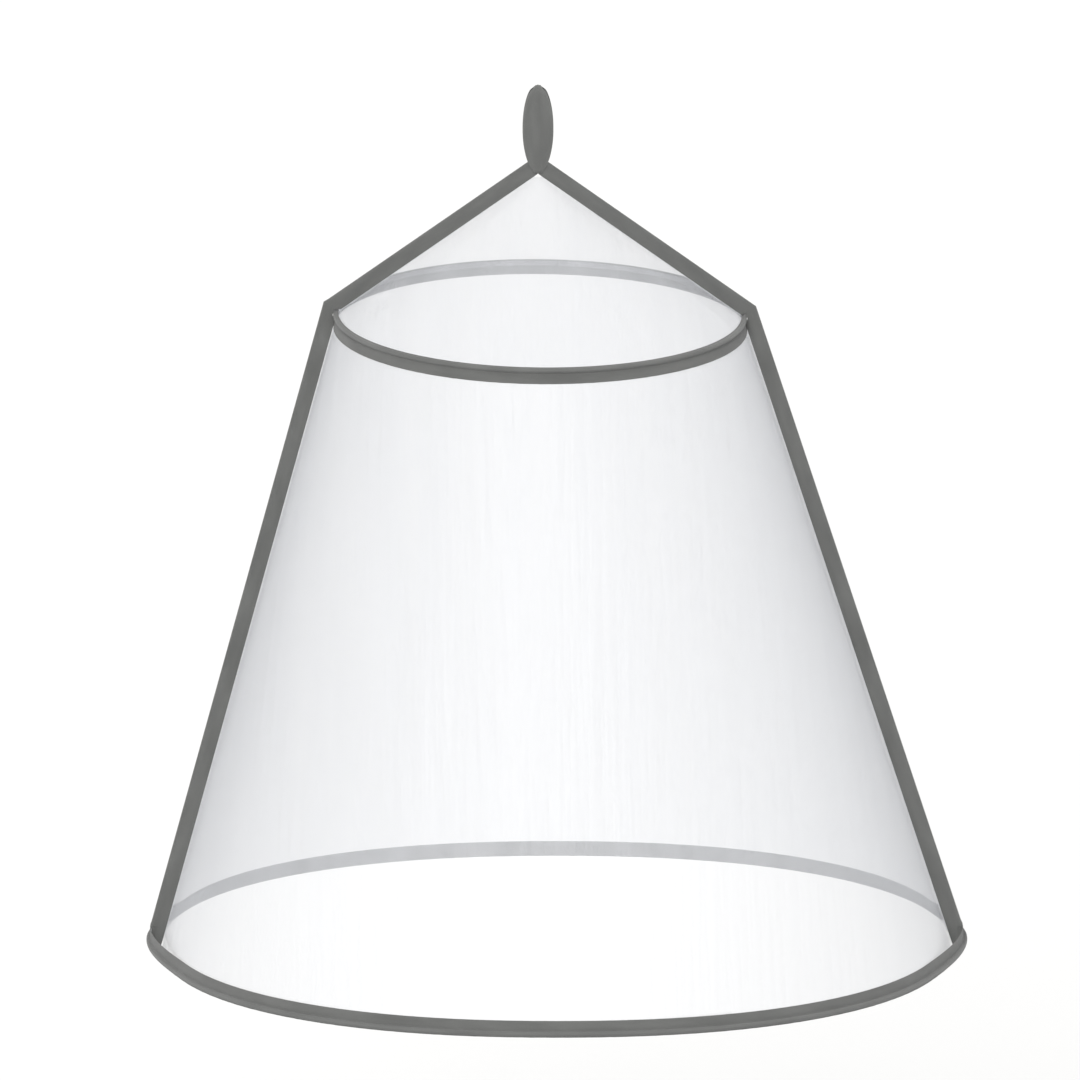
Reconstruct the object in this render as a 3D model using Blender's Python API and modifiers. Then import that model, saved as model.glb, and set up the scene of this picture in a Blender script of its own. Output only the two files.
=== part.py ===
"""Conical mosquito net canopy, hung from one hook.

A sheer net roof and a flared net skirt, each of a front and a back panel, are held open by a hoop at
the eaves and a larger hoop at the hem, both in sleeves of grey tape. The panels' side edges stand out
along the left and right of the cone and are bound in folded tape, and a strap loop joins it all to the
hook. Metres, +Z up, +X to the right, front at -Y. The origin is where the hook bears in the loop.
"""
import bmesh
import bpy
from math import copysign, cos, pi, radians, sin, sqrt, tan
from mathutils import Vector

OBJECT_NAME = "mosquito_net_canopy"

# Driving sizes
LOOP_DROP = 0.285        # hook to the roof's peak, where the side seams meet
ROOF_HEIGHT = 0.449
SKIRT_HEIGHT = 2.050
HOOP_RADIUS = 0.635      # outer face of the net at the eaves
HEM_RADIUS = 1.245       # outer face of the net at the hem, along X and along Y
HEM_SQUARENESS = 2.2     # exponent of the hem's plan, where 2 is a circle
HOOP_SHIFT = 0.006       # the hoop hangs this far to +X of the hook
HEM_SHIFT = 0.060        # and the hem this far
HOOP_PITCH = radians(2.2)    # the hoop hangs low at the front
HOOP_ROLL = radians(0.6)     # and a little low at the right
TIP_HALF = 0.010         # the roof nets are gathered flat at their tip, this far each side

# Cloth and tape
NET = 0.0015             # thickness of the netting as a solid
TAPE = 0.0020            # a sleeve's tape, which holds its hoop against the net
BINDING = 0.0016         # one leg of the folded side tape
TAPE_WIDTH = 0.053
GAP = 0.0003             # between neighbouring solids
HOOP_BEAD = 0.007        # radius of a hoop in its sleeve
BEAD_FOOT = 0.0088       # half the width over which the tape rises over the hoop
BEAD_INSET = 0.0105      # bead's centre to the near edge of its sleeve
SWING = 0.036            # the hem's hoop swings out this far round the foot of each side seam
SWING_FLARE = 0.0145     # and its tape's upper edge this much further, flush with the side tape
SWING_REACH = 0.46       # it leaves the net this far either side of the seam
FOOT_CLEAR = 0.0024      # between a side tape's foot and the hem's sleeve, which passes outside it
SEAM_LAP = 0.020         # roof net turned down behind the skirt
CREASE = 0.003           # radius of the fold where a panel turns out into its side seam

# Side seams: distances out from the net's face
EDGE_FACE = NET + GAP / 2            # outer face of a panel's edge, from the seam's plane
EDGE_REACH = TAPE_WIDTH - 0.006      # how far a panel's edge stands out
BINDING_START = CREASE + 0.0004
FOLD_DEPTH = 0.003       # tape beyond the inside of its fold
BINDING_INNER = EDGE_FACE + GAP
BINDING_OUTER = BINDING_INNER + BINDING

# Hanging loop
LOOP_HALF_WIDTH = 0.0488
LOOP_TOP = 0.007         # top of the bunched strap, and its thickness there
LOOP_BOTTOM = -0.2777
LOOP_NARROWEST = 0.013   # half width where it bunches on the hook
LOOP_BEND = 0.020        # radius of its centre line over the hook
LOOP_STRAP = 0.0032      # thickness of the legs
LOOP_CLOSE = LOOP_DROP - 0.070       # below this the legs lie against the side tapes

# Facets
HALF_STEPS = 32          # facets round half of the cone
SKIRT_ROWS = 5
ROOF_ROWS = 3

RIGHT, LEFT = 0.0, pi
EAVES_Z = -LOOP_DROP - ROOF_HEIGHT
HEM_Z = EAVES_Z - SKIRT_HEIGHT
TIP_Z = -LOOP_DROP - TIP_HALF * ROOF_HEIGHT / HOOP_RADIUS


def on_seam(angle):
    """True at the far left and right, where the panels meet and all offsets stay in the XZ plane."""
    return abs(sin(angle)) < 1e-6


def hoop_point(angle):
    """Net's face at the eaves; angle 0 is +X and pi/2 is the back."""
    x = HOOP_RADIUS * cos(angle)
    y = HOOP_RADIUS * sin(angle)
    return Vector((x + HOOP_SHIFT, y, EAVES_Z + y * tan(HOOP_PITCH) - x * tan(HOOP_ROLL)))


def hem_point(angle):
    """Net's face at the hem, whose plan is a slightly squared circle."""
    power = 2 / HEM_SQUARENESS
    x = copysign(abs(cos(angle)) ** power, cos(angle))
    y = copysign(abs(sin(angle)) ** power, sin(angle))
    return Vector((HEM_SHIFT + HEM_RADIUS * x, HEM_RADIUS * y, HEM_Z))


def tip_point(angle):
    """The gathered tip: two nearly flat edges, front and back, that leave room for the seams."""
    y = copysign(EDGE_FACE + CREASE + 0.3 * TIP_HALF * abs(sin(angle)), sin(angle))
    return Vector((TIP_HALF * (1 - 2 * abs(angle) / pi), 0 if on_seam(angle) else y, TIP_Z))


def on_cone(top, foot, angle, share, extra, out):
    """A point on the net's face between two outlines, moved out along the face's normal.

    It lies a share of the way down, plus an extra distance in metres.
    """
    def spot(a):
        start, end = top(a), foot(a)
        return start.lerp(end, share + extra / (end - start).length)

    nudge = 0.001
    around = spot(angle + nudge) - spot(angle - nudge)
    if on_seam(angle):
        around = Vector((0, cos(angle), 0))
    down = foot(angle) - top(angle)
    normal = down.cross(around).normalized()
    return spot(angle) + normal * out


def on_skirt(angle, share, extra=0.0, out=0.0):
    return on_cone(hoop_point, hem_point, angle, share, extra, out)


def on_skirt_lap(angle, share, extra=0.0, out=0.0):
    """The layer just inside the skirt net."""
    return on_skirt(angle, share, extra, out - NET - GAP)


def eaves_point(angle):
    """Where the roof net's face turns down, just inside the skirt net."""
    return on_skirt(angle, 0, out=-NET - GAP)


def on_roof(angle, share, extra=0.0, out=0.0):
    return on_cone(tip_point, eaves_point, angle, share, extra, out)


def add_object(name, bm, material, collection):
    mesh = bpy.data.meshes.new(name)
    bm.to_mesh(mesh)
    bm.free()
    mesh.shade_smooth()
    mesh.set_sharp_from_angle(angle=radians(30))
    mesh.materials.append(material)
    obj = bpy.data.objects.new(name, mesh)
    collection.objects.link(obj)
    return obj


def loft(rows, ring=False):
    """A closed solid through sections with the same number of points; a ring joins last to first."""
    bm = bmesh.new()
    sections = [[bm.verts.new(point) for point in row] for row in rows]
    pairs = list(zip(sections, sections[1:]))
    if ring:
        pairs.append((sections[-1], sections[0]))
    for one, two in pairs:
        for i in range(len(one)):
            j = (i + 1) % len(one)
            bm.faces.new((one[i], one[j], two[j], two[i]))
    if not ring:
        bm.faces.new(sections[0])
        bm.faces.new(sections[-1])
    bmesh.ops.recalc_face_normals(bm, faces=bm.faces)
    return bm


def panel_row(place, half, share, extra=0.0, edges=True, mitred=False):
    """One row of a panel, from its right edge round the front (half -1) or the back (+1) to its left.

    Without edges the two columns at each end are left empty, where a sleeve crosses the seam.
    """
    def edge(side, out):
        if mitred:
            base = place(side, share, extra)
            rise = place(side, share, extra, out=1) - base
            return base + Vector((0, half * EDGE_FACE, out / rise.z))
        return place(side, share, extra, out) + Vector((0, half * EDGE_FACE, 0))

    def crease(side, toward):
        start, end = place(side, share, extra), place(toward, share, extra)
        reach = EDGE_FACE + CREASE
        point = start.lerp(end, min(0.5, reach / abs(end.y - start.y)))
        return Vector((point.x, half * reach, point.z))

    step = half * pi / HALF_STEPS
    arc = [place(step * k, share, extra) for k in range(1, HALF_STEPS)]
    arc = [crease(RIGHT, step)] + arc + [crease(LEFT * half, LEFT * half - step)]
    if not edges:
        return [None, None] + arc + [None, None]
    right = [edge(RIGHT, EDGE_REACH), edge(RIGHT, CREASE)]
    left = [edge(LEFT * half, CREASE), edge(LEFT * half, EDGE_REACH)]
    return right + arc + left


def add_net_panel(name, rows, half, material, collection):
    """A thin sheet through the rows, thickened inwards."""
    bm = bmesh.new()
    grid = [[point and bm.verts.new(point) for point in row] for row in rows]
    for upper, lower in zip(grid, grid[1:]):
        for i in range(len(upper) - 1):
            corners = [upper[i], upper[i + 1], lower[i + 1], lower[i]]
            if all(corners):
                bm.faces.new(corners if half < 0 else corners[::-1])
    sheet = add_object(name, bm, material, collection)
    thicken = sheet.modifiers.new("net thickness", "SOLIDIFY")
    thicken.thickness = NET
    thicken.offset = -1
    return sheet


def add_nets(material, collection):
    """Roof and skirt, front and back."""
    clear = TAPE_WIDTH + 0.001
    for half, word in ((-1, "front"), (1, "back")):
        rows = [panel_row(on_roof, half, 0, mitred=True)]
        rows += [panel_row(on_roof, half, k / ROOF_ROWS) for k in range(1, ROOF_ROWS)]
        rows.append(panel_row(on_roof, half, 1, extra=-0.003))
        rows.append(panel_row(on_roof, half, 1, edges=False))
        lap = [panel_row(on_skirt_lap, half, 0, extra=SEAM_LAP, edges=False)]
        add_net_panel(f"roof_net_{word}", rows + lap, half, material, collection)

        rows = [panel_row(on_skirt, half, 0, extra=0.003, edges=False)]
        rows.append(panel_row(on_skirt, half, 0, extra=clear))
        rows += [panel_row(on_skirt, half, k / SKIRT_ROWS) for k in range(1, SKIRT_ROWS)]
        rows.append(panel_row(on_skirt, half, 1, extra=-clear))
        rows.append(panel_row(on_skirt, half, 1, extra=-0.002, edges=False))
        add_net_panel(f"skirt_net_{word}", rows, half, material, collection)


def swing(angle, down):
    """How far the hem's sleeve stands off the net, down its tape, to meet the foot of a side tape."""
    near = max(0.0, 1 - (hem_point(angle).y / SWING_REACH) ** 2)
    return (SWING + SWING_FLARE * (1 - down / TAPE_WIDTH)) * near * near


def flat_on_net(angle, down):
    return 0.0


def sleeve_section(bead_down):
    """A sleeve's section as (down, out) pairs: flat tape with the hoop's round bead in it."""
    face = GAP + TAPE
    middle = GAP + HOOP_BEAD
    section = [(0, GAP), (TAPE_WIDTH, GAP), (TAPE_WIDTH, face), (bead_down + BEAD_FOOT, face)]
    for degrees in (50, 20, 0, -20, -50):
        turn = radians(degrees)
        section.append((bead_down + HOOP_BEAD * sin(turn), middle + HOOP_BEAD * cos(turn)))
    return section + [(bead_down - BEAD_FOOT, face), (0, face)]


def add_sleeve(name, share, start, bead_down, lift, material, collection):
    """A hoop in its tape, all round the skirt; start is its upper edge, from the share's line.

    Lift gives how far it stands off the net at an angle and a distance down its tape.
    """
    rows = []
    for k in range(2 * HALF_STEPS):
        angle = pi * k / HALF_STEPS
        section = [(down, out + lift(angle, down)) for down, out in sleeve_section(bead_down)]
        rows.append([on_skirt(angle, share, start + down, out) for down, out in section])
    return add_object(name, loft(rows, ring=True), material, collection)


def seam_stations(side):
    """Stations down a side tape: base point, direction out, and where the tape starts and ends."""
    over_bead = GAP + 2 * HOOP_BEAD + 0.0006
    stations = []

    def add(place, share, extra, start, direction=None, end=TAPE_WIDTH):
        base = place(side, share, extra)
        stations.append((base, direction or place(side, share, extra, 1) - base, start, end))

    roof_out = on_roof(side, 0.5, out=1) - on_roof(side, 0.5)
    skirt_out = on_skirt(side, 0.5, out=1) - on_skirt(side, 0.5)
    mitre = (roof_out + skirt_out) / (1 + roof_out.dot(skirt_out))
    down = (on_roof(side, 1) - on_roof(side, 0)).normalized()
    butt = (TIP_HALF - 2 * GAP) / abs(down.x)
    add(on_roof, 0, -butt, BINDING_START, Vector((0, 0, 1 / roof_out.z)))
    for k in range(1, ROOF_ROWS):
        add(on_roof, k / ROOF_ROWS, 0, BINDING_START)
    add(on_skirt, 0, 0, BINDING_START, mitre)
    lead = 0.0006
    bead_start = BEAD_INSET - BEAD_FOOT
    bead_end = BEAD_INSET + BEAD_FOOT
    add(on_skirt, 0, bead_start - 2 * lead, BINDING_START)
    add(on_skirt, 0, bead_start - lead, over_bead)
    add(on_skirt, 0, bead_end + lead, over_bead)
    add(on_skirt, 0, bead_end + 2 * lead, BINDING_START)
    for k in range(1, SKIRT_ROWS):
        add(on_skirt, k / SKIRT_ROWS, 0, BINDING_START)
    add(on_skirt, 1, -TAPE_WIDTH - 2 * GAP, BINDING_START)
    add(on_skirt, 1, -TAPE_WIDTH - GAP, BINDING_START, end=swing(side, 0) - FOOT_CLEAR)
    add(on_skirt, 1, -0.002, BINDING_START, end=swing(side, TAPE_WIDTH) - FOOT_CLEAR)
    return stations


def add_side_tape(name, side, material, collection):
    """Tape folded over the standing edges of both panels: a narrow U in section."""
    rows = []
    for base, out, start, end in seam_stations(side):
        fold = end - FOLD_DEPTH

        def spot(reach, across):
            return base + out * reach + Vector((0, across, 0))
        rows.append([
            spot(start, -BINDING_OUTER), spot(end, -BINDING_OUTER),
            spot(end, BINDING_OUTER), spot(start, BINDING_OUTER),
            spot(start, BINDING_INNER), spot(fold, BINDING_INNER),
            spot(fold, -BINDING_INNER), spot(start, -BINDING_INNER),
        ])
    return add_object(name, loft(rows), material, collection)


def smooth(value):
    value = min(1.0, max(0.0, value))
    return value * value * (3 - 2 * value)


def loop_route():
    """The strap's centre line in the YZ plane, from its front end over the hook to its back end."""
    shut = BINDING_OUTER + GAP + LOOP_STRAP / 2
    bend_z = LOOP_TOP / 2 - LOOP_BEND
    heights = [LOOP_BOTTOM, -LOOP_CLOSE - 0.006]
    steps = 8
    heights += [-LOOP_CLOSE + (bend_z + LOOP_CLOSE) * k / steps for k in range(1, steps + 1)]
    leg = []
    for z in heights:
        spread = smooth((z + LOOP_CLOSE) / (bend_z + LOOP_CLOSE))
        leg.append(Vector((0, -shut - (LOOP_BEND - shut) * spread, z)))
    turns = 8
    bend = [pi * k / turns for k in range(1, turns)]
    over = [Vector((0, -LOOP_BEND * cos(a), bend_z + LOOP_BEND * sin(a))) for a in bend]
    back = [Vector((0, -point.y, point.z)) for point in reversed(leg)]
    return leg + over + back


def add_hanging_loop(material, collection):
    """A strap whose outline from the front is a narrow ellipse, bunched and thicker at the hook."""
    route = loop_route()
    middle = (LOOP_TOP + LOOP_BOTTOM) / 2
    half_height = (LOOP_TOP - LOOP_BOTTOM) / 2
    section = [(1, 0), (0.82, 0.42), (0.4, 0.5), (-0.4, 0.5), (-0.82, 0.42),
               (-1, 0), (-0.82, -0.42), (-0.4, -0.5), (0.4, -0.5), (0.82, -0.42)]
    rows = []
    for i, point in enumerate(route):
        ahead = route[min(i + 1, len(route) - 1)] - route[max(i - 1, 0)]
        ahead.normalize()
        out = Vector((0, -ahead.z, ahead.y))
        rise = (point.z - middle) / half_height
        half_width = max(LOOP_NARROWEST, LOOP_HALF_WIDTH * sqrt(max(0.0, 1 - rise * rise)))
        bunching = smooth((point.z + 2 * LOOP_BEND) / (2 * LOOP_BEND))
        thick = LOOP_STRAP + (LOOP_TOP - LOOP_STRAP) * bunching
        rows.append([point + Vector((half_width * x, 0, 0)) + out * (thick * n) for x, n in section])
    return add_object("hanging_loop", loft(rows), material, collection)


def principled(name, colour, roughness):
    material = bpy.data.materials.new(name)
    material.use_nodes = True
    shader = material.node_tree.nodes["Principled BSDF"]
    shader.inputs["Base Color"].default_value = (*colour, 1)
    shader.inputs["Roughness"].default_value = roughness
    shader.inputs["Metallic"].default_value = 0.0
    return material


def main():
    for obj in list(bpy.data.objects):
        bpy.data.objects.remove(obj)
    collection = bpy.data.collections.new(OBJECT_NAME)
    bpy.context.scene.collection.children.link(collection)
    net = principled("white netting", (0.87, 0.88, 0.90), 0.7)
    tape = principled("grey tape", (0.16, 0.165, 0.16), 0.85)

    add_nets(net, collection)
    add_sleeve("hoop_sleeve", 0, 0, BEAD_INSET, flat_on_net, tape, collection)
    add_sleeve("hem_sleeve", 1, -TAPE_WIDTH, TAPE_WIDTH - BEAD_INSET, swing, tape, collection)
    add_side_tape("side_tape_right", RIGHT, tape, collection)
    add_side_tape("side_tape_left", LEFT, tape, collection)
    add_hanging_loop(tape, collection)


main()
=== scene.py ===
"""How the conical mosquito net canopy looks, made on its frame.

Four panels of sheer net, two hoops in grey tape casings, a folded tape down each side and a strap loop.
Each panel, tape and strap is made again here over its plain solid, with its cloth, folds and sewing.
Metres, +Z up, +X to the right, front at -Y. The origin is where the hook bears in the loop.
"""
from math import ceil, copysign, cos, exp, pi, radians, sin, sqrt, tan
from random import Random

import bmesh
import bpy
from mathutils import Matrix, Vector


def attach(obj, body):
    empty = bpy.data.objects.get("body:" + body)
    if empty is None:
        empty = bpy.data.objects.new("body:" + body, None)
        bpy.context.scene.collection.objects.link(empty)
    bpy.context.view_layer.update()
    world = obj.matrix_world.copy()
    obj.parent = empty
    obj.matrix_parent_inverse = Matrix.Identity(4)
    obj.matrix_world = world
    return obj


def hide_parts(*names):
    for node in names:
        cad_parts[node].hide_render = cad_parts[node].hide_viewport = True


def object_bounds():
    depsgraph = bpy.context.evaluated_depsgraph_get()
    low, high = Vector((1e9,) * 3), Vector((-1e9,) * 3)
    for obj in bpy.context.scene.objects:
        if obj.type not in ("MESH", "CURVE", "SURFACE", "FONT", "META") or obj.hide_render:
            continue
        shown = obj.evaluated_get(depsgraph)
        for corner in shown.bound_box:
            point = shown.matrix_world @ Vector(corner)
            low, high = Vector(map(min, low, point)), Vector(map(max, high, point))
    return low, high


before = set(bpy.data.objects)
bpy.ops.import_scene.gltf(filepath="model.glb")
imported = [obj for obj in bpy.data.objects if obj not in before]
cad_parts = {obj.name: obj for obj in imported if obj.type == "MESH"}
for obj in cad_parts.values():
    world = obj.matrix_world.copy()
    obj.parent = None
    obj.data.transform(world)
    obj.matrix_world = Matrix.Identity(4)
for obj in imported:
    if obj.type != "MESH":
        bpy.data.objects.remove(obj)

solid_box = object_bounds()

# The canopy's outline, as its solids have it
LOOP_DROP = 0.285
ROOF_HEIGHT = 0.449
SKIRT_HEIGHT = 2.050
HOOP_RADIUS = 0.635
HEM_RADIUS = 1.245
HEM_SQUARENESS = 2.2             # power of the hem's plan; 2 is a true circle
HOOP_SHIFT = 0.006               # of a ring's middle to the right of the hook
HEM_SHIFT = 0.060
HOOP_PITCH = radians(2.2)
HOOP_ROLL = radians(0.6)
TIP_HALF = 0.010                 # half the gathered tip's width
RIGHT, LEFT = 0.0, pi
FRONT, BACK = -1, 1
EAVES_Z = -LOOP_DROP - ROOF_HEIGHT
HEM_Z = EAVES_Z - SKIRT_HEIGHT
TIP_Z = -LOOP_DROP - TIP_HALF * ROOF_HEIGHT / HOOP_RADIUS

# Cloth and tape, the first four by how thick they are
NET = 0.0015
TAPE = 0.0020
BINDING = 0.0016
LOOP_STRAP = 0.0032
TAPE_WIDTH = 0.053
GAP = 0.0003                     # between pieces that lie on each other
SEAM_LAP = 0.020                 # of the roof's net down behind the skirt's
CREASE = 0.003                   # radius where a net turns out into a seam
EAVES_CLEAR = 0.003              # from the eaves, both of the roof's seam and of the skirt's edge
EDGE_FACE = NET + GAP / 2
EDGE_REACH = TAPE_WIDTH - 0.006  # of a net's edge into its side tape
NET_MID = -NET / 2               # middle of the net's thickness, from its outer face
EDGE_MID = EDGE_FACE - NET / 2

# Hoops in their casings
HOOP_BEAD = 0.007                # radius
BEAD_FOOT = 0.0088               # half the bead's width where it meets the tape
BEAD_NECK = (0.0076, 0.0022)     # half the bead's width just above the tape, and how far above
BEAD_INSET = 0.0105              # from the tape's near edge to the bead's middle
BEAD_TO_ROW = 0.0035             # from the bead to the stitches beside it
SWELL = 0.0002                   # of the tape between its rows of stitches
PUCKER = 0.00035                 # of the tape along them
WANDER = 0.0006                  # of its edges, up and down
HOOP_WAVES = (53, 71, 97, 128)   # puckers round the hoop, and round the hem
HEM_WAVES = (101, 139, 187, 251)
SWING = 0.036                    # how far the hem stands off the net at a side seam
SWING_FLARE = 0.0145             # and how much further its upper edge does
SWING_REACH = 0.46               # to front and back of a seam, where the swing dies out

# Side tapes
BINDING_START = CREASE + 0.0004  # open edge, from the net's face
BINDING_INNER = EDGE_FACE + GAP
BINDING_OUTER = BINDING_INNER + BINDING
FOLD_DEPTH = 0.003
FOOT_CLEAR = 0.0024              # from a tape's folded edge to the hem's casing
HEM_CLEAR = 0.002                # from its foot, and the skirt net's, up to the hem
BEND_BLEND = 0.06                # over which a tape's edge leans into the eaves or the tip
NOTCH_EASE = 0.006               # over which its open edge clears the hoop
NOTCH_END = 0.028                # from the eaves down to below the hoop
NOTCH_START = GAP + 2 * HOOP_BEAD + 0.0006  # open edge, over the hoop
FOOT_START = 0.003               # from the hem's upper edge to the tape's first row inside it
PUFF = 0.00025                   # of the tape between its stitches, where it's slackest

# Hanging loop
LOOP_HALF_WIDTH = 0.0488
LOOP_TOP = 0.007
LOOP_BOTTOM = -0.2777
LOOP_NARROWEST = 0.013
LOOP_BEND = 0.020                # radius over the hook
LOOP_CLOSE = LOOP_DROP - 0.070   # from the hook down to where the legs meet
LANE = 0.05                      # of strap, over which its creases wander
CREASE_HEIGHT = 0.0034           # of the strap's creases, if it were drawn in to nothing
DROOP = 0.0060                   # of the strap's edges on the hook
DROOP_TOP = 0.030                # below the hook, where they start to hang over
SELVEDGE = 0.0003                # how far the strap's woven edges stand up

# How finely the cloth is made
ROOF_STEPS = 120                 # round half of the cone
SKIRT_STEPS = 240
ROOF_ROW = 0.016                 # between rows, down the slant
SKIRT_ROW = 0.030
CASING_STEP = 0.0125             # round a hoop
BINDING_ROW = 0.012              # down a side tape
NOTCH_ROW = 0.0014               # where it passes the hoop
FOOT_ROW = 0.006                 # and inside the hem
LEG_STEPS = 26                   # down each leg of the loop, and over the hook
BEND_STEPS = 14
STRAP_STEPS = 12                 # over half the strap's width

# Drape
ROOF_SAG = 0.006                 # the net hangs in this far between its edges
SKIRT_SAG = 0.009
SEAM_EASE = 0.22                 # sine of the angle from a seam over which folds and sag die out
CASING_CLEAR = 0.001             # from a casing to where the skirt's edges stand out
UNDER_TAPE = (0.02, 0.037)       # rows of net under a casing, from its outer edge
SEWN_SHARE = 0.027               # of the net's height, held flat under a casing
SEWN_FADE = 0.08                 # more of its height, over which its folds set in

# Knit
NET_HOLE = 0.0024                # across a hole's flats, yarn to yarn
NET_YARN = 0.095                 # half a yarn's width, as a share of that
YARN_DEPTH = 0.00018             # front of a yarn to its back
KNIT_TURN = radians(15)          # of the knit's rows from a panel's middle line

# Sewing
STITCH_PITCH = 0.0050
STITCH_LENGTH = 0.0038
THREAD = 0.00045                 # radius
STITCH_INSET = 0.0045            # from a tape's edge to its row of stitches
FOLD_INSET = 0.0075              # the same from a tape's folded edge, or the strap's edge
ROW_GROOVE = 0.0014              # half the width of the groove that a row of stitches draws in
GROOVE_DEPTH = 0.0003
STRAP_SEWN = (-0.262, -0.050)    # heights between which the strap's edges are stitched
TACK_HEIGHTS = (-0.2715, -0.2685, -0.2655)

# Colours
NET_WHITE = (0.595, 0.607, 0.635)
GREY_SHADE = (0.072, 0.074, 0.072)
TAPE_GREY = (0.109, 0.112, 0.109)
STRAP_GREY = (0.107, 0.110, 0.107)
THREAD_GREY = (0.15, 0.153, 0.15)
THREAD_TONES = (0.12, 0.123, 0.12), (0.175, 0.178, 0.175)
FLOOR_PALE = (0.756, 0.756, 0.756)
FLOOR_TONES = (0.753, 0.754, 0.753), (0.763, 0.764, 0.763)
TAPE_RIB = 0.0019                # between a twill's ribs
STRAP_RIB = 0.0026

# View and light
VIEW_HEIGHT = radians(13.3)      # of the camera above the horizon
VIEW_WIDTH = 3.402               # metres across the frame
VIEW_SHIFT = (-0.0156, -0.0225)  # of the frame's middle from the canopy's, as shares of its width
VIEW_DISTANCE = 8
FLOOR_DROP = 2.0                 # hem to floor, below a high hook
FLOOR_RADIUS = 110.0
LIGHT_FROM = radians(-9), radians(30)    # to the left of the camera, and above the horizon
LIGHT_STRENGTH = 2.3
LIGHT_COLOUR = (1.0, 0.985, 0.96)
LIGHT_SPREAD = radians(30)
SKY_STRENGTH = 1.0


# Cloth's geometry

def smooth(value):
    value = min(1.0, max(0.0, value))
    return value * value * (3 - 2 * value)


def on_seam(angle):
    return abs(sin(angle)) < 1e-6


def hoop_point(angle):
    """Net's face at the eaves; angle 0 is +X and pi/2 is the back."""
    x = HOOP_RADIUS * cos(angle)
    y = HOOP_RADIUS * sin(angle)
    return Vector((x + HOOP_SHIFT, y, EAVES_Z + y * tan(HOOP_PITCH) - x * tan(HOOP_ROLL)))


def hem_point(angle):
    """Net's face at the hem, whose plan is a slightly squared circle."""
    power = 2 / HEM_SQUARENESS
    x = copysign(abs(cos(angle)) ** power, cos(angle))
    y = copysign(abs(sin(angle)) ** power, sin(angle))
    return Vector((HEM_SHIFT + HEM_RADIUS * x, HEM_RADIUS * y, HEM_Z))


def tip_point(angle):
    """The gathered tip of the roof: two nearly flat edges, front and back."""
    y = copysign(EDGE_FACE + CREASE + 0.3 * TIP_HALF * abs(sin(angle)), sin(angle))
    return Vector((TIP_HALF * (1 - 2 * abs(angle) / pi), 0 if on_seam(angle) else y, TIP_Z))


class Slant:
    """A straight line down the net's face at one angle, from an upper outline to a lower one."""

    def __init__(self, top, foot, angle):
        nudge = 0.001
        self.angle = angle
        self.top, self.foot = top(angle), foot(angle)
        self.length = (self.foot - self.top).length
        self.down = (self.foot - self.top) / self.length
        self.ease = smooth(abs(sin(angle)) / SEAM_EASE)
        if on_seam(angle):
            self.around = [Vector((0, cos(angle), 0))] * 2
        else:
            self.around = [place(angle + nudge) - place(angle - nudge) for place in (top, foot)]

    def out(self, share):
        """Unit vector square to the face, away from the cone."""
        return self.down.cross(self.around[0].lerp(self.around[1], share)).normalized()

    def at(self, share, extra=0.0, out=0.0):
        """A point a share of the way down, plus extra metres, and out from the face."""
        share += extra / self.length
        return self.top.lerp(self.foot, share) + self.out(share) * out


def eaves_point(angle):
    """Where the roof net's face turns down, just inside the skirt net."""
    return Slant(hoop_point, hem_point, angle).at(0, out=-NET - GAP)


def roof_slant(angle):
    return Slant(tip_point, eaves_point, angle)


def skirt_slant(angle):
    return Slant(hoop_point, hem_point, angle)


def beyond(one, two, from_one, from_two):
    """The point on the far side of a line from one down to two, at these distances from them."""
    line = two - one
    reach = line.length
    along = (from_one ** 2 - from_two ** 2 + reach ** 2) / (2 * reach)
    across = sqrt(max(0.0, from_one ** 2 - along ** 2))
    line /= reach
    return one + line * along + Vector((-line.y, line.x)) * across


class Cut:
    """A panel laid flat as it was cut, with its grain straight down the middle."""

    def __init__(self, slants):
        self.slants = slants
        ends = [(Vector((0, 0)), Vector((0, -slants[0].length)))]
        for one, two in zip(slants, slants[1:]):
            top, foot = ends[-1]
            tops, cross = (two.top - one.top).length, (two.top - one.foot).length
            next_top = beyond(top, foot, tops, cross)
            next_foot = beyond(next_top, foot, two.length, (two.foot - one.foot).length)
            ends.append((next_top, next_foot))
        top, foot = ends[len(ends) // 2]
        turn = Matrix.Rotation(-(foot - top).angle_signed(Vector((0, -1))), 2)
        self.ends = [[turn @ (end - top) for end in pair] for pair in ends]

    def at(self, column, share, extra=0.0, aside=0.0):
        """Where a point of one slant lies, moved aside from the panel's side edge."""
        top, foot = self.ends[column]
        down = (foot - top).normalized()
        across = Vector((-down.y, down.x)) * (aside if column else -aside)
        return top.lerp(foot, share) + down * extra + across

    def size(self, above, below):
        """Width, length and area of the cut, with its allowances above, below and at both sides."""
        sides = [0] + list(range(len(self.ends))) + [len(self.ends) - 1]
        aside = [EDGE_REACH] + [0] * len(self.ends) + [EDGE_REACH]
        edge = [self.at(c, 0, -above, a) for c, a in zip(sides, aside)]
        edge += [self.at(c, 1, below, a) for c, a in zip(reversed(sides), aside)]
        area = sum(a.x * b.y - b.x * a.y for a, b in zip(edge, edge[1:] + edge[:1])) / 2
        span = [max(p[i] for p in edge) - min(p[i] for p in edge) for i in (0, 1)]
        return span[0], span[1], abs(area)


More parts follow.
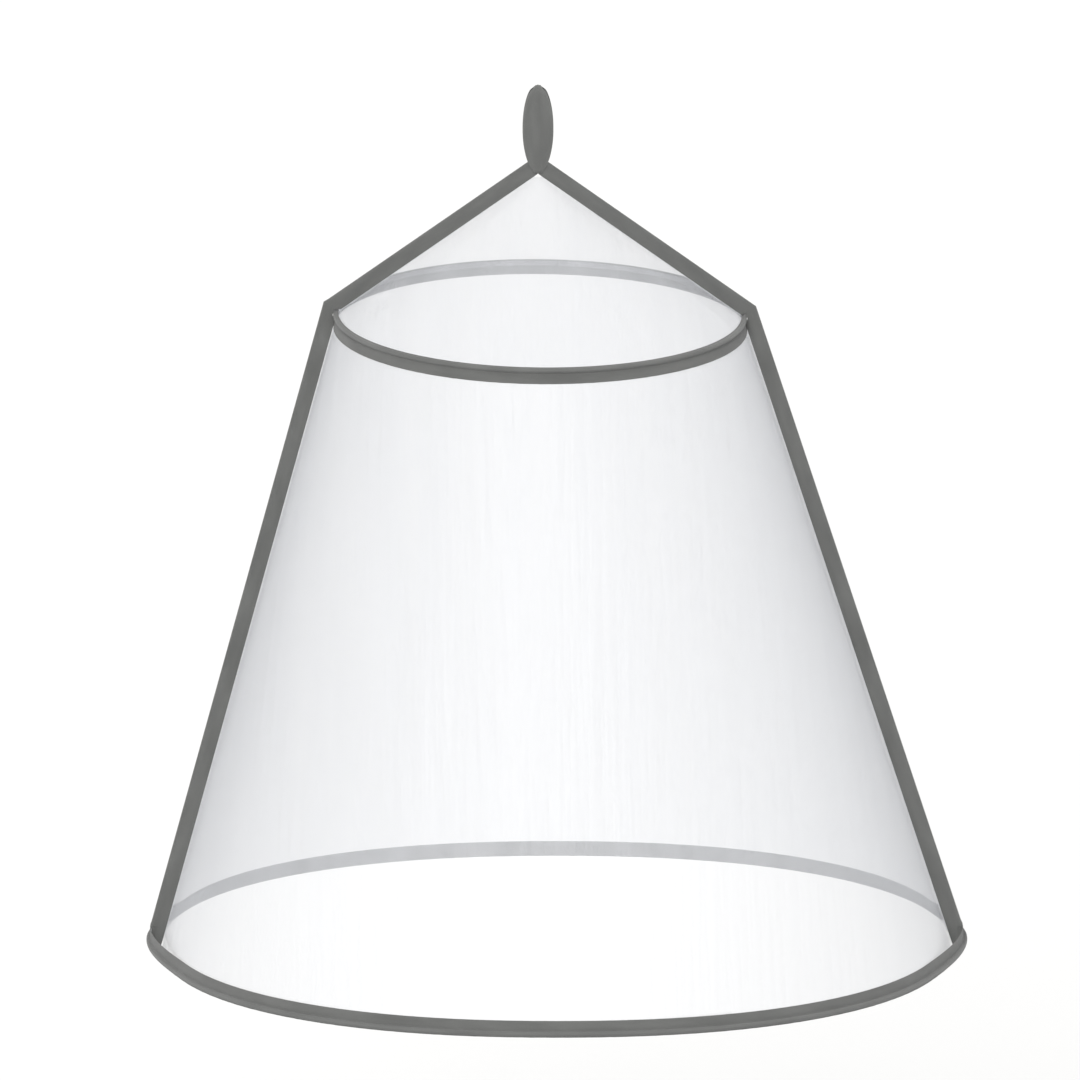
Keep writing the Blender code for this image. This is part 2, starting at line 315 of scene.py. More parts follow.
def surface(name, rows, marks, finish, ring=False, tube=False, capped=False, rubs=None):
    """A smooth mesh through rows of points, whose marks in metres are its UV map.

    A ring joins the last row to the first and a tube the last point of a row to the first, and marks
    has one more row or point there. Rubs say how worn each point is.
    """
    bm = bmesh.new()
    uv = bm.loops.layers.uv.new("cloth")
    rub = bm.verts.layers.float.new("rub")
    grid = [[point and bm.verts.new(point) for point in row] for row in rows]
    for i in range(len(grid) - (not ring)):
        for j in range(len(grid[0]) - (not tube)):
            places = ((i, j), (i, j + 1), (i + 1, j + 1), (i + 1, j))
            corners = [grid[r % len(grid)][c % len(grid[0])] for r, c in places]
            if all(corners):
                face = bm.faces.new(corners)
                for loop, (r, c) in zip(face.loops, places):
                    loop[uv].uv = marks[r][c]
    if capped:
        for row in (grid[0], grid[-1]):
            bm.faces.new(row)
    for row, worn in zip(grid, rubs or []):
        for vertex, amount in zip(row, worn):
            vertex[rub] = amount
    bm.normal_update()
    bmesh.ops.recalc_face_normals(bm, faces=bm.faces)
    mesh = bpy.data.meshes.new(name)
    bm.to_mesh(mesh)
    bm.free()
    mesh.shade_smooth()
    mesh.materials.append(finish)
    piece = bpy.data.objects.new(name, mesh)
    bpy.context.scene.collection.objects.link(piece)
    return piece


def belong(piece, slot, *nodes):
    """Hangs a piece on the canopy, in place of the plain solids that it stands for."""
    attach(piece, "root")
    if nodes:
        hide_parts(*nodes)
    return piece


# Finishes

class Value:
    """A number that varies over the cloth, with arithmetic that adds Math nodes to its finish."""

    def __init__(self, finish, socket):
        self.finish, self.socket = finish, socket

    def maths(self, operation, *values):
        sockets = dict(enumerate(values))
        return self.finish.node("ShaderNodeMath", {"operation": operation}, sockets)

    def __add__(self, other):
        return self.maths("ADD", self, other)

    def __radd__(self, other):
        return self.maths("ADD", other, self)

    def __sub__(self, other):
        return self.maths("SUBTRACT", self, other)

    def __rsub__(self, other):
        return self.maths("SUBTRACT", other, self)

    def __mul__(self, other):
        return self.maths("MULTIPLY", self, other)

    def __rmul__(self, other):
        return self.maths("MULTIPLY", other, self)

    def __truediv__(self, other):
        return self.maths("DIVIDE", self, other)

    def __abs__(self):
        return self.maths("ABSOLUTE", self)

    def __mod__(self, other):
        return self.maths("FLOORED_MODULO", self, other)

    def __lt__(self, other):
        return self.maths("LESS_THAN", self, other)

    def __gt__(self, other):
        return self.maths("GREATER_THAN", self, other)

    def sine(self):
        return self.maths("SINE", self)

    def most(self, other):
        return self.maths("MAXIMUM", self, other)

    def clipped(self, low, high):
        sockets = {"Value": self, "Min": low, "Max": high}
        return self.finish.node("ShaderNodeClamp", {}, sockets)


class Finish:
    """A material on one Principled shader, whose patterns are drawn on the cloth's own marks."""

    def __init__(self, name, colour, sockets):
        self.material = bpy.data.materials.new(name)
        self.material.use_nodes = True
        self.tree = self.material.node_tree
        self.shader = self.tree.nodes["Principled BSDF"]
        self.feed(self.shader, {"Base Color": (*colour, 1), **sockets})

    def feed(self, node, sockets):
        for name, value in sockets.items():
            if isinstance(value, Value):
                self.tree.links.new(value.socket, node.inputs[name])
            else:
                node.inputs[name].default_value = value

    def node(self, kind, settings, sockets, out=0):
        node = self.tree.nodes.new(kind)
        for name, value in settings.items():
            setattr(node, name, value)
        self.feed(node, sockets)
        return Value(self, node.outputs[out])

    def marks(self):
        """The cloth's own marks in metres: along a tape or across a panel, then the other way."""
        place = self.node("ShaderNodeUVMap", {"uv_map": "cloth"}, {})
        return [self.node("ShaderNodeSeparateXYZ", {}, {0: place}, out) for out in (0, 1)]

    def rub(self):
        """How worn the surface is, from 0 to 1."""
        return self.node("ShaderNodeAttribute", {"attribute_name": "rub"}, {}, "Fac")

    def noise(self, x, y, detail=2.0):
        """Noise about 0.5 over two coordinates that are already scaled."""
        place = self.node("ShaderNodeCombineXYZ", {}, {0: x, 1: y})
        sockets = {"Vector": place, "Scale": 1.0, "Detail": detail}
        return self.node("ShaderNodeTexNoise", {"noise_dimensions": "2D"}, sockets)

    def colour(self, mix, low, high):
        """A colour, from low where mix is 0 to high where it is 1."""
        sockets = {0: mix.clipped(0.0, 1.0), 6: (*low, 1), 7: (*high, 1)}
        return self.node("ShaderNodeMix", {"data_type": "RGBA"}, sockets, 2)

    def raised(self, height, distance):
        """The normal of a surface raised by height times a distance in metres."""
        return self.node("ShaderNodeBump", {}, {"Height": height, "Distance": distance})

    def drive(self, sockets):
        """Feeds the shader from nodes and gives the finished material."""
        self.feed(self.shader, sockets)
        return self.material


def white_netting(name, turn):
    """Sheer net with six-sided holes, a little denser in streaks down the cloth.

    Its knit is turned from the middle line, so that it never lies in step with the net behind it.
    """
    made = Finish(name, NET_WHITE, {"Roughness": 0.5, "IOR": 1.57})
    across, along = made.marks()
    tall = sqrt(3)
    x = (across * cos(turn) - along * sin(turn)) / NET_HOLE
    y = (across * sin(turn) + along * cos(turn)) / NET_HOLE

    def from_hole(shift):
        return (x + shift) % 1 - 0.5, (y + shift * tall) % tall - tall / 2

    (x1, y1), (x2, y2) = from_hole(0.0), from_hole(0.5)
    first = (x1 * x1 + y1 * y1) < (x2 * x2 + y2 * y2)
    x = abs(x2 + first * (x1 - x2))
    y = abs(y2 + first * (y1 - y2))
    outward = x.most(x * 0.5 + y * (tall / 2))
    streaks = made.noise(across * 11, along * 0.6, 3.0)
    yarn = outward > 0.5 - NET_YARN * (0.72 + 0.56 * streaks)
    creases = made.noise(across * 26, along * 1.6, 2.0)
    return made.drive({"Alpha": yarn, "Normal": made.raised(creases, 0.006)})


def twill(name, grey, rib, roughness):
    """Heathered grey twill, paler where it is rubbed."""
    made = Finish(name, grey, {"Roughness": roughness, "Sheen Weight": 0.15, "Sheen Roughness": 0.6})
    along, across = made.marks()
    ribs = ((along + across) * (2 * pi / rib)).sine()
    picks = ((along - across * 0.6) * (4 * pi / rib)).sine()
    clouds = made.noise(along * 6, across * 22, 3.0)
    flecks = made.noise(along * 340, across * 520, 1.0)
    rub = made.rub()
    tone = 0.5 + 1.3 * (clouds - 0.5) + 0.9 * (flecks - 0.5) + 0.10 * ribs + 0.35 * rub
    height = ribs * 0.6 + picks * 0.25 + (clouds - 0.5) * 4
    return made.drive({
        "Base Color": made.colour(tone, GREY_SHADE, grey),
        "Roughness": (roughness + 0.06 * ribs - 0.12 * rub).clipped(0.0, 1.0),
        "Normal": made.raised(height, 0.00018),
    })


def sewing_thread():
    """Two-ply grey thread."""
    made = Finish("grey sewing thread", THREAD_GREY, {"Roughness": 0.6})
    along, across = made.marks()
    plies = ((along * 3 + across * 2) * (2 * pi / THREAD / 3)).sine()
    tone = 0.5 + 0.3 * plies + (made.noise(along * 9, across * 9) - 0.5)
    return made.drive({
        "Base Color": made.colour(tone, *THREAD_TONES),
        "Normal": made.raised(plies, 0.0001),
    })


def floor_paint():
    made = Finish("pale floor", FLOOR_PALE, {"Roughness": 0.9, "Specular IOR Level": 0.0})
    place = made.node("ShaderNodeTexCoord", {}, {}, "Object")
    x, y = [made.node("ShaderNodeSeparateXYZ", {}, {0: place}, out) for out in (0, 1)]
    tone = made.noise(x * 0.3, y * 0.3)
    return made.drive({"Base Color": made.colour(tone, *FLOOR_TONES)})


# Netting

class Pulls:
    """Faint folds that run from where the net is sewn in and fade along it.

    Each has a width in radians, a depth in metres and a reach as a share of the net's height.
    """

    def __init__(self, seed, count, width, depth, reach):
        random = Random(seed)
        self.folds = [
            (random.uniform(0, pi), random.uniform(*width),
             random.choice((-1, 1)) * random.uniform(*depth), random.uniform(*reach))
            for _ in range(count)
        ]

    def at(self, angle, share):
        """How far out the net lies, a share of the way from where it is sewn in."""
        start = smooth((share - SEWN_SHARE) / SEWN_FADE)
        start *= smooth((1 - SEWN_SHARE - share) / SEWN_FADE)
        out = 0.0
        for middle, width, depth, reach in self.folds:
            off = (abs(angle) - middle) / (width * (1 + share))
            if abs(off) < 2.5 and share < reach:
                out += depth * exp(-off * off) * (1 - smooth(share / reach))
        return start * out


def net_row(cut, share, extra, drape, edged, upright=False):
    """One row of a panel, from its right edge to its left, as points and as marks on the flat cut.

    An edged row stands out at both ends into the side seams. At the tip the edges stand upright.
    """
    points, marks = [], []
    half = copysign(1, sin(cut.slants[1].angle))
    last = len(cut.slants) - 1
    for column, slant in enumerate(cut.slants):
        if 0 < column < last:
            points.append(slant.at(share, extra, NET_MID + drape(slant, share)))
            marks.append(cut.at(column, share, extra))
            continue
        base = slant.at(share, extra)
        rise = Vector((0, 0, 1 / slant.out(share).z)) if upright else slant.out(share)
        bend = [(reach, EDGE_MID) for reach in (EDGE_REACH, EDGE_REACH / 2, CREASE)]
        for turn in (radians(30), radians(60), radians(90)):
            reach = CREASE * (1 - sin(turn)) + NET_MID * sin(turn)
            bend.append((reach, EDGE_MID + CREASE * (1 - cos(turn))))
        ends = [base + rise * reach + Vector((0, half * aside, 0)) for reach, aside in bend]
        if not edged:
            ends = [None] * (len(bend) - 1) + ends[-1:]
        flat = [cut.at(column, share, extra, max(0.0, reach)) for reach, aside in bend]
        step = 1 if column == 0 else -1
        points += ends[::step]
        marks += flat[::step]
    return points, marks


def net_panel(name, cut, rows, finish, allowances):
    """A panel of net through its rows. The size that it was cut is worked out, and nothing uses it."""
    points, marks = zip(*rows)
    piece = surface(name, points, marks, finish)
    width, length, area = cut.size(*allowances)
    return piece


def roof_drape(pulls):
    def drape(slant, share):
        sag = -ROOF_SAG * 4 * share * (1 - share)
        return slant.ease * (sag + pulls.at(slant.angle, 1 - share))
    return drape


def add_roof(half, word, finish):
    slants = [roof_slant(half * pi * k / ROOF_STEPS) for k in range(ROOF_STEPS + 1)]
    cut = Cut(slants)
    pulls = Pulls(seed=21 + half, count=46, width=(0.02, 0.06), depth=(0.001, 0.003), reach=(0.3, 1.0))
    drape = roof_drape(pulls)
    count = ceil(slants[0].length / ROOF_ROW)
    rows = [net_row(cut, k / count, 0, drape, True, upright=k == 0) for k in range(count)]
    rows.append(net_row(cut, 1, -EAVES_CLEAR, drape, True))
    rows.append(net_row(cut, 1, 0, drape, False))
    for down in (SEAM_LAP * 0.3, SEAM_LAP * 0.65, SEAM_LAP):
        marks = net_row(cut, 1, down, drape, False)[1]
        lap = []
        for slant in slants:
            aside = half * (EDGE_MID + CREASE) if on_seam(slant.angle) else 0
            behind = skirt_slant(slant.angle).at(0, down, NET_MID - NET - GAP)
            lap.append(behind + Vector((0, aside, 0)))
        cut_away = [None] * ((len(marks) - len(lap)) // 2)
        rows.append((cut_away + lap + cut_away, marks))
    piece = net_panel(f"roof_panel_{word}", cut, rows, finish, (0, SEAM_LAP))
    return belong(piece, "netting", f"roof_net_{word}")


def skirt_drape(pulls, puckers):
    def drape(slant, share):
        sag = -SKIRT_SAG * 4 * share * (1 - share)
        folds = sum(pull.at(slant.angle, share) for pull in pulls)
        return slant.ease * (sag + folds + puckers.at(slant.angle, 1 - share))
    return drape


def add_skirt(half, word, finish):
    slants = [skirt_slant(half * pi * k / SKIRT_STEPS) for k in range(SKIRT_STEPS + 1)]
    cut = Cut(slants)
    pulls = [
        Pulls(seed=31 + half, count=60, width=(0.010, 0.032), depth=(0.0015, 0.004), reach=(0.25, 1.0)),
        Pulls(seed=41 + half, count=10, width=(0.08, 0.20), depth=(0.002, 0.005), reach=(1.2, 2.0)),
    ]
    puckers = Pulls(seed=51 + half, count=54, width=(0.008, 0.024), depth=(0.0015, 0.0035),
                    reach=(0.12, 0.4))
    drape = skirt_drape(pulls, puckers)
    clear = TAPE_WIDTH + CASING_CLEAR
    middle = slants[0].length - 2 * clear
    count = ceil(middle / SKIRT_ROW)
    rows = [net_row(cut, 0, extra, drape, False) for extra in (EAVES_CLEAR, *UNDER_TAPE)]
    rows += [net_row(cut, 0, clear + middle * k / count, drape, True) for k in range(count + 1)]
    rows += [net_row(cut, 1, -extra, drape, False) for extra in (*UNDER_TAPE[::-1], HEM_CLEAR)]
    piece = net_panel(f"skirt_panel_{word}", cut, rows, finish, (0, 0))
    yarn = piece.modifiers.new("yarn", "SOLIDIFY")
    yarn.thickness = YARN_DEPTH
    yarn.offset = 0
    yarn.use_rim = False
    return belong(piece, "netting", f"skirt_net_{word}")


# Sewing

def add_stitches(name, runs, finish):
    """Thread laid along runs of (point, outward) pairs: each stitch dips into the cloth at its ends."""
    rows, marks = [], []
    for run in runs:
        walked = 0.0
        due = STITCH_PITCH / 2
        for (one, lift), (two, next_lift) in zip(run, run[1:]):
            span = (two - one).length
            along = (two - one) / span
            while due < walked + span:
                out = lift.lerp(next_lift, (due - walked) / span).normalized()
                aside = along.cross(out).normalized()
                middle = one + along * (due - walked)
                for end in (-1, -0.35, 0.35, 1):
                    high = THREAD * (0.9 if abs(end) < 1 else -0.5)
                    wide = THREAD * (1 if abs(end) < 1 else 0.6)
                    centre = middle + along * (end * STITCH_LENGTH / 2)
                    low = centre + out * (high - THREAD)
                    rows.append([low - aside * wide, centre + out * high, low + aside * wide])
                    here = due + end * STITCH_LENGTH / 2
                    marks.append([(here, -THREAD), (here, 0), (here, THREAD)])
                rows.append([None] * 3)
                marks.append([(0, 0)] * 3)
                due += STITCH_PITCH
            walked += span
    return surface(name, rows, marks, finish)


# Hoops in their casings

def ripple(turn, counts, seed):
    """A small uneven wave round a ring, between -1 and 1."""
    random = Random(seed)
    return sum(sin(turn * count + random.uniform(0, 2 * pi)) for count in counts) / len(counts)


def casing_section(bead_down):
    """A casing's section as (down, out, give, rub): tape with rounded edges over a hoop's bead.

    Give says how freely that part of the tape puckers.
    """
    edge = TAPE / 2
    face = GAP + TAPE
    section = [(edge + (TAPE_WIDTH - 2 * edge) * k / 4, GAP, 0, 0) for k in range(5)]
    for turn in (45, 90, 135):
        t = radians(turn)
        section.append((TAPE_WIDTH - edge + edge * sin(t), GAP + edge - edge * cos(t), 0.6, 0.5))
    rows = casing_rows(bead_down)
    stops = [(TAPE_WIDTH - edge, 0)]
    for row in rows:
        stops += [(row - ROW_GROOVE, 0), (row, GROOVE_DEPTH), (row + ROW_GROOVE, 0)]
    between = sum(rows) / 2
    stops += [(between - 0.005, -SWELL), (between + 0.005, -SWELL)]
    outer = [(down, face - dip, 1, 0) for down, dip in stops if down <= TAPE_WIDTH - edge]
    for turn in (-90, -65, -48, -32, -16, 0, 16, 32, 48, 65, 90):
        t = radians(turn)
        out = GAP + HOOP_BEAD + HOOP_BEAD * cos(t)
        outer.append((bead_down + HOOP_BEAD * sin(t), out, 0, max(0.0, cos(t)) ** 3))
    for half_width, rise in (BEAD_NECK, (BEAD_FOOT, SWELL)):
        outer.append((bead_down - half_width, face + rise, 0, 0))
        outer.append((bead_down + half_width, face + rise, 0, 0))
    outer.sort(reverse=True)
    section += [point for point in outer if point[0] >= edge]
    for turn in (135, 90, 45):
        t = radians(turn)
        section.append((edge - edge * sin(t), GAP + edge - edge * cos(t), 0.3, 0.5))
    return section


def casing_rows(bead_down):
    """How far down a casing its two rows of stitches lie: beside the bead, and at the far edge."""
    away = 1 if bead_down < TAPE_WIDTH / 2 else -1
    beside = bead_down + away * (BEAD_FOOT + BEAD_TO_ROW)
    far = TAPE_WIDTH - STITCH_INSET if away > 0 else STITCH_INSET
    return [beside, far]


def flat_on_net(slant, down):
    """The hoop's casing lies on the net all the way round."""
    return 0.0


def swing(slant, down):
    """How far the hem's casing stands off the net, down its tape, to meet the foot of a side tape."""
    near = max(0.0, 1 - (slant.foot.y / SWING_REACH) ** 2)
    return (SWING + SWING_FLARE * (1 - down / TAPE_WIDTH)) * near * near


def add_casing(name, share, start, bead_down, lift, finish, thread, node):
    """A hoop in its tape, all round the skirt; start is the tape's upper edge from the share's line.

    Lift gives how far it stands off the net at a slant and a distance down its tape.
    """
    section = casing_section(bead_down)
    girth = 2 * pi * (HOOP_RADIUS if share == 0 else HEM_RADIUS)
    steps = 4 * ceil(girth / CASING_STEP / 4)
    slants = [skirt_slant(2 * pi * k / steps if 2 * k <= steps else 2 * pi * k / steps - 2 * pi)
              for k in range(steps)]
    rows, rubs, stations = [], [], []
    waves = HOOP_WAVES if share == 0 else HEM_WAVES
    for slant in slants:
        pucker = PUCKER * ripple(slant.angle, waves, 3)
        wander = WANDER * ripple(slant.angle, waves, 4)
        row = []
        for down, out, give, rub in section:
            out += pucker * give * (out > GAP * 2) + lift(slant, down)
            row.append(slant.at(share, start + down + wander * give, out))
        rows.append(row)
        worn = 0.55 + 0.45 * ripple(slant.angle, (7, 11, 18, 29), 5)
        rubs.append([rub * worn for down, out, give, rub in section])
        sewn = []
        for down in casing_rows(bead_down):
            out = GAP + TAPE + pucker + lift(slant, down)
            sewn.append((slant.at(share, start + down, out), slant.out(share)))
        stations.append(sewn)
    marks = ring_marks(rows)
    piece = surface(name, rows, marks, finish, ring=True, tube=True, rubs=rubs)
    runs = [[station[i] for station in stations + stations[:1]] for i in (0, 1)]
    sewing = belong(add_stitches(name + "_stitches", runs, thread), "grey_tape")
    return belong(piece, "grey_tape", node)


def ring_marks(rows):
    """Marks for a ring of tube rows: along the ring, and round the section."""
    lengths = [0.0]
    for one, two in zip(rows, rows[1:] + rows[:1]):
        lengths.append(lengths[-1] + (two[0] - one[0]).length)
    return [[(along, across) for across in section_marks(rows[0])] for along in lengths]


def section_marks(row):
    """Distances round one closed section, from its first point back to it."""
    marks = [0.0]
    for one, two in zip(row, row[1:] + row[:1]):
        marks.append(marks[-1] + (two - one).length)
    return marks


# Side seams

class Seam:
    """The line of one side seam, from the roof's tip over the eaves to the hem."""

    def __init__(self, side):
        self.roof, self.skirt = roof_slant(side), skirt_slant(side)
        self.roof_out, self.skirt_out = self.roof.out(0.5), self.skirt.out(0.5)
        mitre = (self.roof_out + self.skirt_out) / (1 + self.roof_out.dot(self.skirt_out))
        self.tip_skew = -self.roof_out.x / self.roof.down.x
        self.eaves_skew = mitre.dot(self.roof.down)
        self.skirt_skew = mitre.dot(self.skirt.down)
        self.butt = (TIP_HALF - 2 * GAP) / abs(self.roof.down.x)
        self.total = self.butt + self.roof.length + self.skirt.length - HEM_CLEAR
        self.foot = self.total + HEM_CLEAR - TAPE_WIDTH

    def at(self, walked):
        """Base point, direction out, and reach of the tape's open and folded edges."""
        down = walked - self.butt
        if down <= self.roof.length:
            skew = self.tip_skew * max(0.0, 1 - walked / BEND_BLEND)
            skew += self.eaves_skew * max(0.0, 1 - (self.roof.length - down) / BEND_BLEND)
            base = self.roof.at(0, down)
            return base, self.roof_out + self.roof.down * skew, BINDING_START, TAPE_WIDTH
        down -= self.roof.length
        skew = self.skirt_skew * max(0.0, 1 - down / BEND_BLEND)
        direction = self.skirt_out + self.skirt.down * skew
        notch = 1 - smooth((abs(down - BEAD_INSET) - BEAD_FOOT - 0.0004) / NOTCH_EASE)
        start = BINDING_START + (NOTCH_START - BINDING_START) * notch
        below = walked - self.foot
        end = TAPE_WIDTH if below < -1.5 * GAP else swing(self.skirt, below) - FOOT_CLEAR
        return self.skirt.at(0, down), direction, start, end

    def stations(self):
        """Distances down the tape, closer together over the hoop's bead."""
        stops = {self.foot - GAP}
        eaves = self.butt + self.roof.length
        past_hoop = eaves + NOTCH_END
        foot = self.foot - 2 * GAP
        for low, high, step in ((0, eaves, BINDING_ROW), (eaves, past_hoop, NOTCH_ROW),
                                (past_hoop, foot, BINDING_ROW),
                                (foot + FOOT_START, self.total, FOOT_ROW)):
            count = ceil((high - low) / step)
            stops |= {round(low + (high - low) * k / count, 6) for k in range(count + 1)}
        return sorted(stops)


def binding_rows(start, end):
    """Reaches of a side tape's two rows of stitches, beside its open edge and its fold."""
    return start + STITCH_INSET, end - FOLD_INSET


def binding_leg(start, end):
    """Reaches along one leg of a side tape as (reach, dip, give), from its open edge to its fold."""
    near, far = [[(row - 0.0013, 0, 1), (row, GROOVE_DEPTH, 1), (row + 0.0013, 0, 1)]
                 for row in binding_rows(start, end)]
    between = [(start + (end - start) * share, -0.0001, 1) for share in (0.35, 0.5, 0.65)]
    open_edge = [(start, 0.0004, 0.2), (start + 0.0008, 0, 0.4)]
    return open_edge + near + between + far + [(end - BINDING_OUTER, 0, 0.5)]


def add_side_tape(name, side, finish, thread, node):
    """Tape folded over the standing edges of both panels, with a rounded fold outward."""
    seam = Seam(side)
    stops = seam.stations()
    rows, rubs, stations = [], [], []
    for walked in stops:
        base, direction, start, end = seam.at(walked)
        leg = binding_leg(start, end)
        puff = [PUFF * (1 + ripple(walked, (70, 113, 171), 8 + k)) for k in (0, 1)]
        wear = 0.5 + 0.5 * ripple(walked, (5, 9, 17, 31), 6)

        def spot(reach, across):
            return base + direction * reach + Vector((0, across, 0))

        front = [spot(r, -(BINDING_OUTER - dip + puff[0] * give)) for r, dip, give in leg]
        back = [spot(r, BINDING_OUTER - dip + puff[1] * give) for r, dip, give in reversed(leg)]
        fold = []
        for turn in (-60, -30, 0, 30, 60):
            t = radians(turn)
            reach = end - BINDING_OUTER * (1 - cos(t))
            fold.append(spot(reach, BINDING_OUTER * sin(t)))
        inside = [spot(start, BINDING_INNER), spot(end - FOLD_DEPTH, BINDING_INNER),
                  spot(end - FOLD_DEPTH, -BINDING_INNER), spot(start, -BINDING_INNER)]
        rows.append(front + fold + back + inside)
        plain = [0.3, 0.1] + [0] * (len(leg) - 3) + [0.4]
        rubs.append([wear * rub for rub in plain + [0.8, 1, 1, 1, 0.8] + plain[::-1] + [0] * 4])
        sewn = []
        for across in (-1, 1):
            for reach in binding_rows(start, end):
                sewn.append((spot(reach, across * BINDING_OUTER), Vector((0, across, 0))))
        stations.append(sewn)
    around = section_marks(rows[len(rows) // 2])
    marks = [[(walked, across) for across in around] for walked in stops]
    piece = surface(name, rows, marks, finish, tube=True, capped=True, rubs=rubs)
    runs = [[station[i] for station in stations[1:-1]] for i in range(4)]
    sewing = belong(add_stitches(name + "_stitches", runs, thread), "grey_tape")
    return belong(piece, "grey_tape", node)


# Hanging loop

def loop_route():
    """The strap's centre line in the YZ plane, from its front end over the hook to its back end."""
    shut = BINDING_OUTER + GAP + LOOP_STRAP / 2
    bend_z = LOOP_TOP / 2 - LOOP_BEND
    foot = -LOOP_CLOSE - 0.006
    heights = [LOOP_BOTTOM + (foot - LOOP_BOTTOM) * k / 8 for k in range(9)]
    heights += [-LOOP_CLOSE + (bend_z + LOOP_CLOSE) * k / LEG_STEPS for k in range(1, LEG_STEPS + 1)]
    leg = []
    for z in heights:
        spread = smooth((z + LOOP_CLOSE) / (bend_z + LOOP_CLOSE))
        leg.append(Vector((0, -shut - (LOOP_BEND - shut) * spread, z)))
    bend = [pi * k / BEND_STEPS for k in range(1, BEND_STEPS)]
    over = [Vector((0, -LOOP_BEND * cos(a), bend_z + LOOP_BEND * sin(a))) for a in bend]
    back = [Vector((0, -point.y, point.z)) for point in reversed(leg)]
    return leg + over + back


def strap_width(z):
    """Half the strap's width: a narrow ellipse seen from the front, bunched at the hook."""
    middle = (LOOP_TOP + LOOP_BOTTOM) / 2
    half_height = (LOOP_TOP - LOOP_BOTTOM) / 2
    rise = (z - middle) / half_height
    return max(LOOP_NARROWEST, LOOP_HALF_WIDTH * sqrt(max(0.0, 1 - rise * rise)))


def strap_fold(x, half_width, lane):
    """How far a strap's lengthwise creases lift it, most where it is drawn in narrowest."""
    drawn = min(0.6, 1 - half_width / LOOP_HALF_WIDTH)
    creases = 0.5 + 0.5 * cos(pi * (3.4 * x + 0.25 * sin(2.2 * lane)))
    return CREASE_HEIGHT * drawn ** 1.5 * creases * (1 - 0.5 * x * x)


def strap_droop(x, z):
    """How far a strap's edges hang down beside the hook."""
    return DROOP * abs(x) ** 2.5 * smooth((z + DROOP_TOP) / DROOP_TOP)


def add_hanging_loop(finish, thread, node):
    """A strap that hangs over the hook, bunched there and where it is sewn in, and spread between."""
    route = loop_route()
    across = [sin(pi / 2 * k / STRAP_STEPS) for k in range(-STRAP_STEPS, STRAP_STEPS + 1)]
    rows, rubs, lengths = [], [], [0.0]
    edges = [[], [], [], []]
    for one, two in zip(route, route[1:]):
        lengths.append(lengths[-1] + (two - one).length)
    for i, point in enumerate(route):
        ahead = (route[min(i + 1, len(route) - 1)] - route[max(i - 1, 0)]).normalized()
        out = Vector((0, -ahead.z, ahead.y))
        half_width = strap_width(point.z)
        lane = lengths[i] / LANE
        outer, inner, worn = [], [], []
        for x in across:
            thick = LOOP_STRAP / 2 * sqrt(max(0.0, 1 - abs(x) ** 12)) + 0.0001
            roll = SELVEDGE * smooth((abs(x) - 0.78) / 0.1)
            lift = strap_fold(x, half_width, lane) - strap_droop(x, point.z)
            middle = point + Vector((half_width * x, 0, 0))
            outer.append(middle + out * (thick + lift + roll))
            inner.append(middle + out * (lift - thick))
            worn.append(0.8 * smooth((abs(x) - 0.85) / 0.1)
                        + 0.4 * smooth((point.z + DROOP_TOP) / DROOP_TOP))
        rows.append(outer + inner[::-1])
        rubs.append(worn + worn[::-1])
        if STRAP_SEWN[0] < point.z < STRAP_SEWN[1]:
            leg = 0 if point.y < 0 else 2
            for k, sign in enumerate((-1, 1)):
                inset = half_width - FOLD_INSET
                lift = strap_fold(sign * inset / half_width, half_width, lane)
                spot = point + Vector((sign * inset, 0, 0)) + out * (LOOP_STRAP / 2 + lift)
                edges[leg + k].append((spot, out))
    around = section_marks(rows[len(rows) // 4])
    marks = [[(along, mark) for mark in around] for along in lengths]
    piece = surface("strap_loop", rows, marks, finish, tube=True, capped=True, rubs=rubs)
    runs = edges + [bar_tack(side, z) for side in (FRONT, BACK) for z in TACK_HEIGHTS]
    sewing = belong(add_stitches("strap_loop_stitches", runs, thread), "grey_strap")
    return belong(piece, "grey_strap", node)


def bar_tack(side, z):
    """A short row of stitches across the strap where it is sewn down."""
    depth = BINDING_OUTER + GAP + LOOP_STRAP
    half_width = strap_width(z) - 0.003
    run = []
    for k in range(-4, 5):
        x = half_width * k / 4
        lift = strap_fold(x / strap_width(z), strap_width(z), z / LANE)
        run.append((Vector((x, side * (depth + lift), z)), Vector((0, side, 0))))
    return run


# Room

def add_floor():
    bm = bmesh.new()
    bmesh.ops.create_circle(bm, cap_ends=True, segments=96, radius=FLOOR_RADIUS)
    mesh = bpy.data.meshes.new("floor")
    bm.to_mesh(mesh)
    bm.free()
    mesh.materials.append(floor_paint())
    floor = bpy.data.objects.new("floor", mesh)
    floor.location = (0, 0, HEM_Z - FLOOR_DROP)
    bpy.context.scene.collection.objects.link(floor)


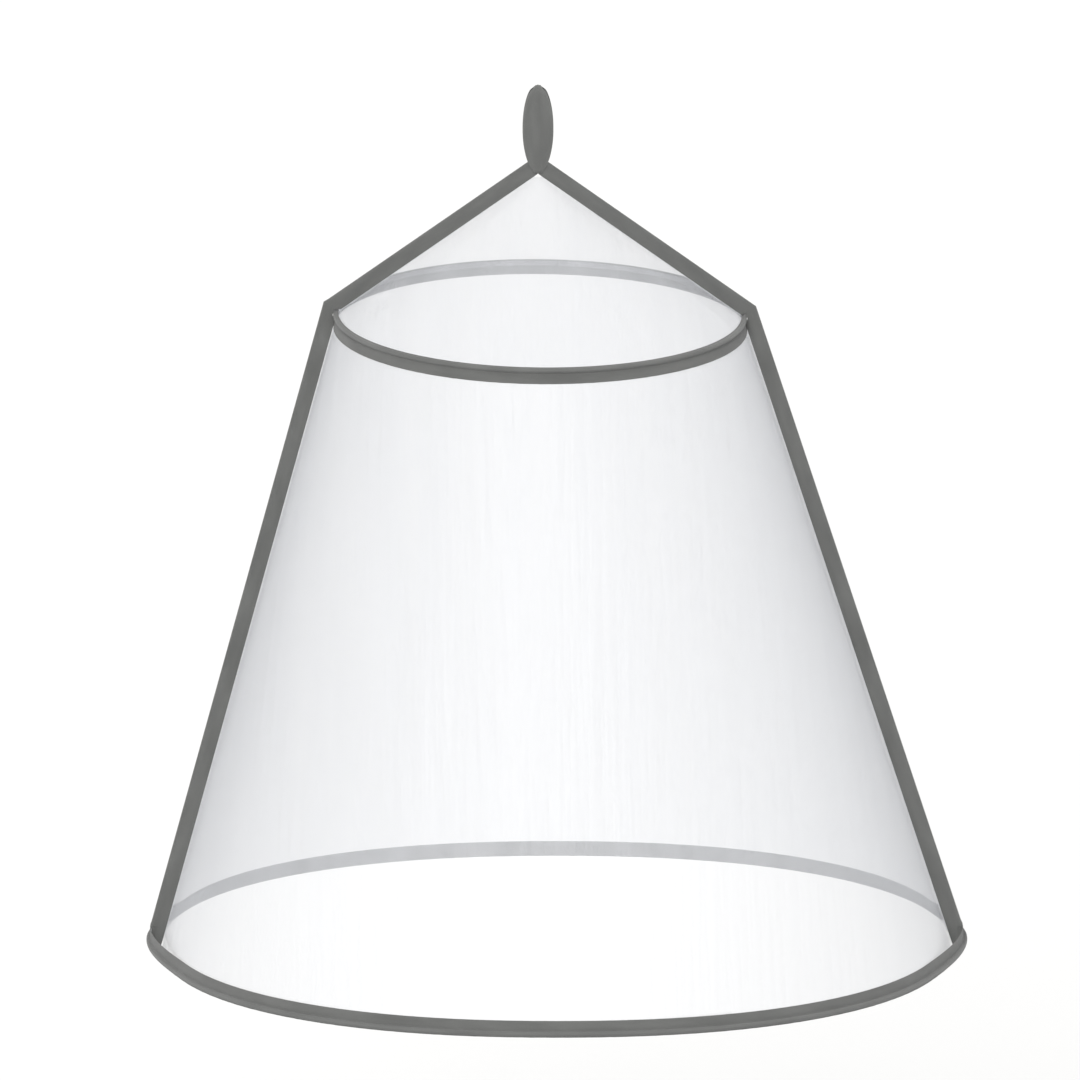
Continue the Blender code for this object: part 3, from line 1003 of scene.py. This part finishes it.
def add_light():
    scene = bpy.context.scene
    world = bpy.data.worlds.new("soft room light")
    world.use_nodes = True
    sky = world.node_tree.nodes["Background"]
    sky.inputs["Color"].default_value = (1, 1, 1, 1)
    sky.inputs["Strength"].default_value = SKY_STRENGTH
    scene.world = world
    aside, height = LIGHT_FROM
    toward = Vector((sin(aside) * cos(height), -cos(aside) * cos(height), sin(height)))
    lamp = bpy.data.lights.new("soft front light", "SUN")
    lamp.energy = LIGHT_STRENGTH
    lamp.color = LIGHT_COLOUR
    lamp.angle = LIGHT_SPREAD
    light = bpy.data.objects.new("soft front light", lamp)
    light.rotation_mode = "QUATERNION"
    light.rotation_quaternion = toward.to_track_quat("Z", "Y")
    scene.collection.objects.link(light)


def add_camera():
    """Looks along +Y and a little down, without perspective."""
    scene = bpy.context.scene
    lens = bpy.data.cameras.new("front view")
    lens.type = "ORTHO"
    lens.ortho_scale = VIEW_WIDTH
    lens.shift_x, lens.shift_y = VIEW_SHIFT
    lens.clip_end = 4 * FLOOR_RADIUS
    camera = bpy.data.objects.new("front view", lens)
    back = Vector((0, -cos(VIEW_HEIGHT), sin(VIEW_HEIGHT)))
    camera.location = (solid_box[0] + solid_box[1]) / 2 + back * VIEW_DISTANCE
    camera.rotation_mode = "QUATERNION"
    camera.rotation_quaternion = back.to_track_quat("Z", "Y")
    scene.collection.objects.link(camera)
    scene.camera = camera
    scene.view_settings.view_transform = "Standard"


def add_canopy():
    front_net = white_netting("white netting front", KNIT_TURN)
    back_net = white_netting("white netting back", -KNIT_TURN)
    thread = sewing_thread()
    tape = twill("grey twill tape", TAPE_GREY, TAPE_RIB, 0.85)
    strap = twill("grey strap", STRAP_GREY, STRAP_RIB, 0.8)
    for half, word, netting in ((FRONT, "front", front_net), (BACK, "back", back_net)):
        add_roof(half, word, netting)
        add_skirt(half, word, netting)
    add_casing("hoop_casing", 0, 0, BEAD_INSET, flat_on_net, tape, thread, "hoop_sleeve")
    hem_bead = TAPE_WIDTH - BEAD_INSET
    add_casing("hem_casing", 1, -TAPE_WIDTH, hem_bead, swing, tape, thread, "hem_sleeve")
    add_side_tape("side_binding_right", RIGHT, tape, thread, "side_tape_right")
    add_side_tape("side_binding_left", LEFT, tape, thread, "side_tape_left")
    add_hanging_loop(strap, thread, "hanging_loop")


add_camera()
add_light()
add_floor()
add_canopy()
